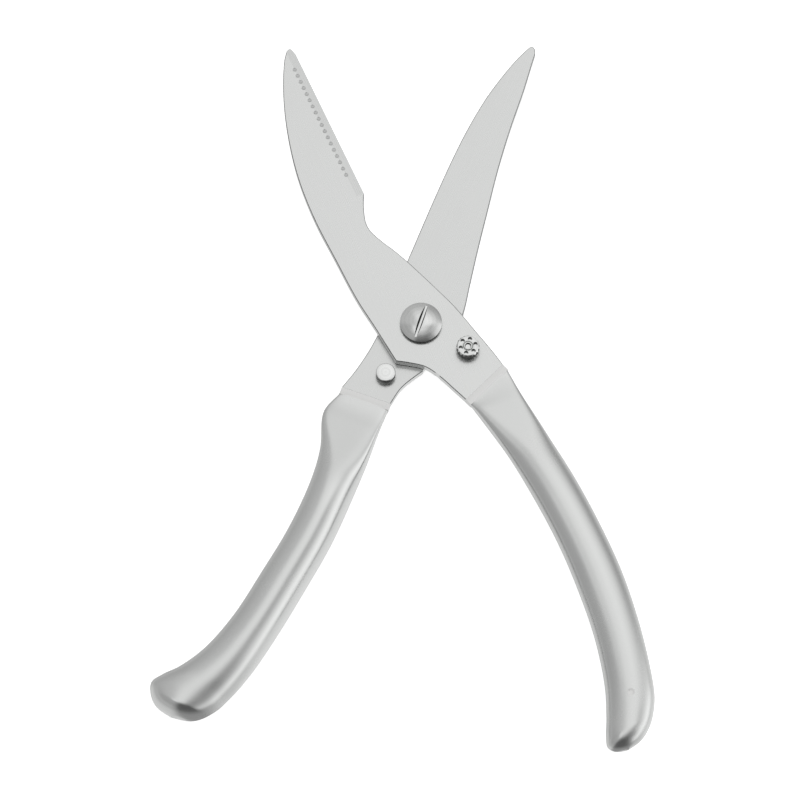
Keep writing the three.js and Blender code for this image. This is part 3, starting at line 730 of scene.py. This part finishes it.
def handles():
    """Both handles, each of two shells, with its weld and its vent plug."""
    front = grip(
        FRONT_TANG_END, FRONT_GRIP, FRONT_REACH, FRONT_END_X,
        (FRONT_LOW + FRONT_HIGH) / 2, FRONT_END_ROUNDING)
    back = grip(
        BACK_TANG_END, BACK_GRIP, BACK_REACH, BACK_END_X,
        (BACK_LOW + BACK_HIGH) / 2, BACK_END_ROUNDING)
    rows = (
        ("front", front, FRONT_TANG_END, HALF_OPENING, FRONT_VENT_SHARE, 1, FRONT_LOW, FRONT_HIGH),
        ("back", back, BACK_TANG_END, -HALF_OPENING, BACK_VENT_SHARE, -1, BACK_LOW, BACK_HIGH),
    )
    for half, handle, tang_end, swing, vent_share, vent_side, low, high in rows:
        body = f"{half}_half"
        upper, lower = grip_shells(f"{half}_handle", handle)
        middle, _, _, up, below, _ = section(handle, vent_share, 0)
        surface = handle["seam"] + (up if vent_side > 0 else -below)
        drilled = upper if vent_side > 0 else lower
        drill = cylinder(VENT_RADIUS + VENT_GAP, surface - 2.2, surface + 2.2, tuple(middle), 40)
        cut(drilled, drill)
        placed(upper, f"{half}_handle_upper_shell", body, SATIN, swing, 30)
        placed(lower, f"{half}_handle_lower_shell", body, SATIN, swing, 30)
        plug = vent_plug(f"{half}_vent_weld", handle, vent_share, vent_side)
        placed(plug, f"{half}_vent_plug", body, DRESSED, swing, 30)
        bead = weld(f"{half}_weld_bead", tang_end, low, high)
        placed(bead, f"{half}_weld", body, DRESSED, swing)


# ---------------------------------------------------------------- pivot

def pivot_screw():
    """A slotted screw with a domed head: the dome falls away faster towards its rounded rim."""
    low, apex = span("pivot_screw", 2)
    head_low = KNOB_LOW  # the head lies on a washer of the same height as the knob's
    rim, shoulder = head_low + 0.75, 2.4
    profile = eased([
        (THREAD_RADIUS - 0.4, low), (THREAD_RADIUS, low + 0.4), (THREAD_RADIUS, shoulder),
        (SHANK_RADIUS, shoulder), (SHANK_RADIUS, head_low),
        (HEAD_RADIUS, head_low), (HEAD_RADIUS, rim)], 0.15)
    steps = 16
    for i in range(1, steps + 1):
        angle = math.pi / 2 * i / steps
        share = math.cos(angle)
        radius = HEAD_RADIUS * share if i < steps else 0
        profile.append((radius, rim + (apex - rim) * (1 - share ** 2.2)))
    screw = turned("pivot_screw_turned", profile, sides=128)
    along = Vector((math.cos(SLOT_TURN), math.sin(SLOT_TURN), 0))
    across = Vector((-along.y, along.x, 0))
    corners = ((1, -1), (1, 1), (-1, 1), (-1, -1))
    rings = []
    for height, half_width in (
            (-SLOT_DEPTH, SLOT_WIDTH * 0.2), (0, SLOT_WIDTH / 2), (1, SLOT_WIDTH / 2)):
        rings.append([
            along * (8 * end) + across * (half_width * side) + Vector((0, 0, apex + height))
            for end, side in corners])
    cut(screw, lofted("slot", rings))
    placed(screw, "pivot_screw", "back_half", TURNED, angle=25)

    # The slot's walls and the head's sides get the near-black finish: painted shade in the slot and
    # on the head's side.
    def shaded_faces(middle, normal, area):
        in_slot = abs(middle.dot(across)) < SLOT_WIDTH / 2 and middle.z > apex - SLOT_DEPTH - 0.05
        wall = in_slot and abs(normal.dot(across)) > 0.6
        side = head_low + 0.1 < middle.z < rim and abs(normal.z) < 0.3
        return wall or side

    finished(screw, SHADED_MILLED, shaded_faces)


def ring_between(inner, outer, low, high):
    """The profile of a flat ring with eased corners."""
    corners = [(inner, (low + high) / 2), (inner, low), (outer, low), (outer, high), (inner, high)]
    return eased([*corners, corners[0]], 0.06, 2)


def washers():
    """Two flat spring rings on the screw, and one under the knob."""
    rows = (
        ("head_washer", "back_half", BORE),
        ("nut_washer", "back_half", BORE),
        ("lock_washer", "front_half", 1.8),
    )
    for node, body, inner in rows:
        low, high = span(node, 2)
        left, right = span(node, 0)
        profile = ring_between(inner, (right - left) / 2, low, high)
        washer = turned(f"{node}_spring", profile, tuple(centre(node)), 72)
        placed(washer, node, body, SPRING, angle=25)


def pivot_nut():
    """A round blind nut with two holes for a pin spanner."""
    low, high = span("pivot_nut", 2)
    bottom, radius, thread = low + 0.9, 6.0, THREAD_RADIUS + 0.1
    profile = eased([
        (0.4, low), (radius - 0.5, low), (radius, low + 0.45), (radius, high), (thread, high),
        (thread, bottom), (0.2, bottom)], 0.12)
    profile.append((0, bottom))
    nut = turned("pivot_nut_turned", profile)
    cut(nut, *[cylinder(0.7, low - 1, low + 0.6, (x, 0), 24) for x in (-4.1, 4.1)])
    placed(nut, "pivot_nut", "back_half", TURNED, angle=25)


def pivot_bush():
    """A sleeve on the screw, inside the spring's coil."""
    low, high = span("pivot_bush", 2)
    bush = turned("pivot_bush_turned", ring_between(BORE, BORE + BUSH_WALL, low, high), sides=72)
    placed(bush, "pivot_bush", "back_half", TURNED, angle=25)


def return_spring():
    """A coil of round wire about the bush, with an upright leg in each blade."""
    low, high = span("return_spring", 2)
    wire, coil, leg = 0.45, (POCKET_RADIUS + BORE + BUSH_WALL) / 2, 0.9 + 0.45
    first, last = math.pi - HALF_OPENING, HALF_OPENING + 4 * math.pi
    centres = [Vector((coil * math.cos(first), coil * math.sin(first), low))]
    steps = 96
    for i in range(steps + 1):
        angle = first + (last - first) * i / steps
        z = low + leg + (high - low - 2 * leg) * i / steps
        centres.append(Vector((coil * math.cos(angle), coil * math.sin(angle), z)))
    centres.append(Vector((coil * math.cos(last), coil * math.sin(last), high)))
    rings = []
    for i, point in enumerate(centres):
        ahead = (centres[min(i + 1, len(centres) - 1)] - centres[max(i - 1, 0)]).normalized()
        outwards = Vector((point.x, point.y, 0)).normalized()
        up = ahead.cross(outwards).normalized()
        turn = [2 * math.pi * k / 16 for k in range(16)]
        rings.append([point + (outwards * math.cos(a) + up * math.sin(a)) * wire for a in turn])
    spring = lofted("return_spring_wire", rings)
    placed(spring, "return_spring", "back_half", SPRING, angle=40)


# ---------------------------------------------------------------- pin and lock

def stop_pin():
    """A flat-topped pin with a shank in the back tang and an undercut below its head."""
    low, high = span("stop_pin", 2)
    seat, shank, radius = BACK_HIGH + 0.05, 1.8, 3.0
    profile = eased([
        (shank - 0.3, low), (shank, low + 0.3), (shank, seat), (radius - 0.5, seat),
        (radius - 0.5, seat + 0.3), (radius, seat + 0.45), (radius, high - 0.2),
        (radius - 0.2, high), (0.6, high)], 0.1)
    profile.append((0, high))
    pin = turned("stop_pin_turned", profile, tuple(centre("stop_pin")), 72)
    placed(pin, "stop_pin", "back_half", TURNED_PIN, angle=25)
    # The pin's sides below its top get the near-black finish: painted shade.
    finished(
        pin, SHADED_MILLED,
        lambda middle, normal, area: middle.z < high - 0.2 and abs(normal.z) < 0.6)


def lock_knob():
    """A small knurled knob with six petal-shaped dimples round its centre."""
    low, high, radius, bore = KNOB_LOW, KNOB_HIGH, 3.55, 1.3
    corners = [(bore, low + 0.5), (bore, low), (radius - 0.3, low), (radius, low + 0.3),
               (radius, high - 0.4), (radius - 0.4, high), (bore + 0.35, high), (bore, high - 0.35)]
    knob = turned("lock_knob_knurled", [*corners, corners[0]], tuple(LOCK_PLACE), 120)
    tools = [cylinder(0.42, low - 1, high + 1, place, 16) for place in circle(LOCK_PLACE, 3.7, 18)]
    petals = 6
    for i in range(petals):
        angle = 2 * math.pi * (i + 0.25) / petals
        place = (LOCK_PLACE[0] + 2.35 * math.cos(angle), LOCK_PLACE[1] + 2.35 * math.sin(angle))
        tools.append(cylinder(0.68, high - 1.0, high + 1, place, 24))
    cut(knob, joined(tools))
    placed(knob, "lock_knob", "lock", TURNED_LOCK, angle=25)
    # The walls of the knob's flutes and pockets and its rim get the near-black finish: painted shade.
    finished(
        knob, SHADED_MILLED,
        lambda middle, normal, area: abs(normal.z) < 0.3 and middle.z > low + 0.5)


def lock_spindle():
    """A stepped spindle from the cam to the knob, with a hollow in its top end."""
    low, high = span("lock_spindle", 2)
    seat, journal, bottom = 1.25, 1.6, high - 0.8
    profile = eased([
        (seat, low), (seat, FRONT_LOW - 0.1), (journal, FRONT_LOW - 0.1),
        (journal, KNOB_LOW - 0.1), (seat, KNOB_LOW - 0.1), (seat, high), (0.95, high),
        (0.8, bottom), (0.3, bottom)], 0.08)
    profile.append((0, bottom))
    spindle = turned("lock_spindle_turned", profile, tuple(LOCK_PLACE), 48)
    placed(spindle, "lock_spindle", "lock", TURNED_LOCK, angle=25)
    # The walls of the hollow in the spindle's top get the near-black finish: painted shade.
    finished(
        spindle, SHADED_MILLED,
        lambda middle, normal, area: middle.z > high - 0.7 and abs(normal.z) < 0.4)


def lock_cam():
    """A disc with one flat, which faces the pivot when the lock is off."""
    low, high = span("lock_cam", 2)
    bore = 1.3
    corners = [(bore, (low + high) / 2), (bore, low), (CAM_RADIUS - 0.15, low),
               (CAM_RADIUS, low + 0.15), (CAM_RADIUS, high - 0.15), (CAM_RADIUS - 0.15, high),
               (bore, high)]
    cam = turned("lock_cam_turned", [*corners, corners[0]], tuple(LOCK_PLACE))
    towards = -Vector(LOCK_PLACE).normalized()
    middle = Vector(LOCK_PLACE) + towards * (CAM_FLAT + 5)
    bpy.ops.mesh.primitive_cube_add(size=10, location=(*middle, high))
    flat = bpy.context.object
    flat.rotation_euler.z = math.atan2(towards.y, towards.x)
    bpy.ops.object.transform_apply(location=False)
    bpy.ops.object.transform_apply()
    cut(cam, flat)
    placed(cam, "lock_cam", "lock", TURNED_LOCK, angle=25)


# ---------------------------------------------------------------- studio

def floor():
    """A plain pale floor with a glow of its own, which takes the shadows out. The steel doesn't
    mirror it: below the horizon it mirrors the foot of the tent instead."""
    bpy.ops.mesh.primitive_circle_add(
        vertices=96, radius=2.2, fill_type="NGON", location=(0, 0, -0.0002))
    ground = added("studio_floor")
    material = bpy.data.materials.new("pale_floor")
    material.use_nodes = True
    shader = material.node_tree.nodes["Principled BSDF"]
    shader.inputs["Base Color"].default_value = linear("eeeeee")
    shader.inputs["Roughness"].default_value = 0.9
    shader.inputs["Emission Color"].default_value = linear("ffffff")
    shader.inputs["Emission Strength"].default_value = 0.75
    ground.data.materials.append(material)
    ground.visible_glossy = False


# The walls of the light tent: the middle bearing and half width of each in degrees, counted from
# +X towards +Y, then its light at heights from the foot below the floor (0) to straight
# overhead (1). The left wall is the ground that the others are mixed into.
TENT_FOOT = 0.5
TENT_STRENGTH = 1.27
TENT_LEFT = (
    (-0.5, 0.66), (-0.15, 0.48), (0.0, 0.46), (0.04, 0.54), (0.26, 0.42), (0.45, 0.38),
    (0.80, 0.40), (0.90, 0.44), (0.955, 0.96), (0.975, 0.74), (1.0, 0.80))
TENT_WALLS = (
    # left rear
    (130, 20, (
        (-0.5, 0.50), (-0.1, 0.43), (0.05, 0.44), (0.35, 0.47), (0.80, 0.53), (0.93, 0.56),
        (1.0, 0.80))),
    # rear
    (90, 15, (
        (-0.5, 0.45), (-0.1, 0.42), (0.05, 0.42), (0.40, 0.50), (0.80, 0.78), (0.93, 0.86),
        (1.0, 0.80))),
    # right rear
    (45, 22, (
        (-0.5, 0.72), (-0.1, 0.54), (0.0, 0.46), (0.28, 0.33), (0.50, 0.46), (0.80, 0.84),
        (0.92, 0.94), (1.0, 0.80))),
    # right
    (-10, 22, (
        (-0.5, 0.80), (-0.1, 0.70), (0.0, 0.66), (0.10, 0.88), (0.30, 1.10), (0.50, 0.98),
        (0.68, 0.76), (0.85, 0.46), (0.93, 0.44), (1.0, 0.80))),
    # front right
    (-45, 10, (
        (-0.5, 0.62), (-0.1, 0.56), (0.0, 0.60), (0.06, 0.80), (0.25, 0.98), (0.42, 0.78),
        (0.62, 0.38), (0.85, 0.24), (0.93, 0.34), (1.0, 0.80))),
    # front
    (-84, 24, (
        (-0.5, 0.30), (-0.1, 0.18), (0.0, 0.13), (0.30, 0.10), (0.75, 0.09), (0.88, 0.16),
        (0.96, 0.50), (1.0, 0.80))),
)
TENT_BLUR = 18  # degrees over which one wall melts into the next


def studio_sky():
    """A soft light tent around the shears, one wall after another mixed into its sky."""
    world = bpy.data.worlds.new("light_tent")
    bpy.context.scene.world = world
    world.use_nodes = True
    tree = world.node_tree
    tree.nodes.clear()
    way = add(tree, "ShaderNodeTexCoord").outputs["Generated"]
    parts = add(tree, "ShaderNodeSeparateXYZ", {"Vector": way})
    bearing = add(tree, "ShaderNodeMath", {
        0: parts.outputs["Y"], 1: parts.outputs["X"],
    }, operation="ARCTAN2")
    height_share = add(tree, "ShaderNodeMapRange", {
        "Value": parts.outputs["Z"], "From Min": -TENT_FOOT,
    })

    def wall(stops):
        ramp = add(tree, "ShaderNodeValToRGB", {"Fac": height_share.outputs["Result"]})
        elements = ramp.color_ramp.elements
        while len(elements) < len(stops):
            elements.new(0.5)
        for element, (height, light) in zip(elements, stops):
            element.position = (height + TENT_FOOT) / (1 + TENT_FOOT)
            element.color = (light, light, light, 1)
        return ramp.outputs["Color"]

    sky = wall(TENT_LEFT)
    for middle, half_width, stops in TENT_WALLS:
        off = add(tree, "ShaderNodeMath", {
            0: bearing.outputs[0], 1: -math.radians(middle),
        }, operation="ADD")
        turn = add(tree, "ShaderNodeMath", {
            0: off.outputs[0], 1: math.pi, 2: -math.pi,
        }, operation="WRAP")
        away = add(tree, "ShaderNodeMath", {0: turn.outputs[0]}, operation="ABSOLUTE")
        share = add(tree, "ShaderNodeMapRange", {
            "Value": away.outputs[0],
            "From Min": math.radians(half_width + TENT_BLUR), "From Max": math.radians(half_width),
        }, interpolation_type="SMOOTHSTEP")
        mix = add(tree, "ShaderNodeMix", data_type="RGBA")
        tree.links.new(share.outputs["Result"], mix.inputs[0])
        tree.links.new(sky, mix.inputs[6])
        tree.links.new(wall(stops), mix.inputs[7])
        sky = mix.outputs[2]
    background = add(tree, "ShaderNodeBackground", {"Color": sky, "Strength": TENT_STRENGTH})
    add(tree, "ShaderNodeOutputWorld", {"Surface": background.outputs["Background"]})


def camera():
    """Above the shears and a little towards the handles, tilted 20 degrees from straight down."""
    lens = bpy.data.cameras.new("camera")
    lens.lens = 110
    lens.sensor_width = 36
    holder = bpy.data.objects.new("camera", lens)
    bpy.context.collection.objects.link(holder)
    holder.location = (-0.00651, -0.28175, 0.71386)
    holder.rotation_euler = (math.radians(20), 0, 0)
    bpy.context.scene.camera = holder


camera()
floor()
studio_sky()
bpy.context.scene.view_settings.view_transform = "Standard"

front_blade()
back_blade()
handles()
pivot_screw()
washers()
pivot_nut()
pivot_bush()
return_spring()
stop_pin()
lock_knob()
lock_spindle()
lock_cam()
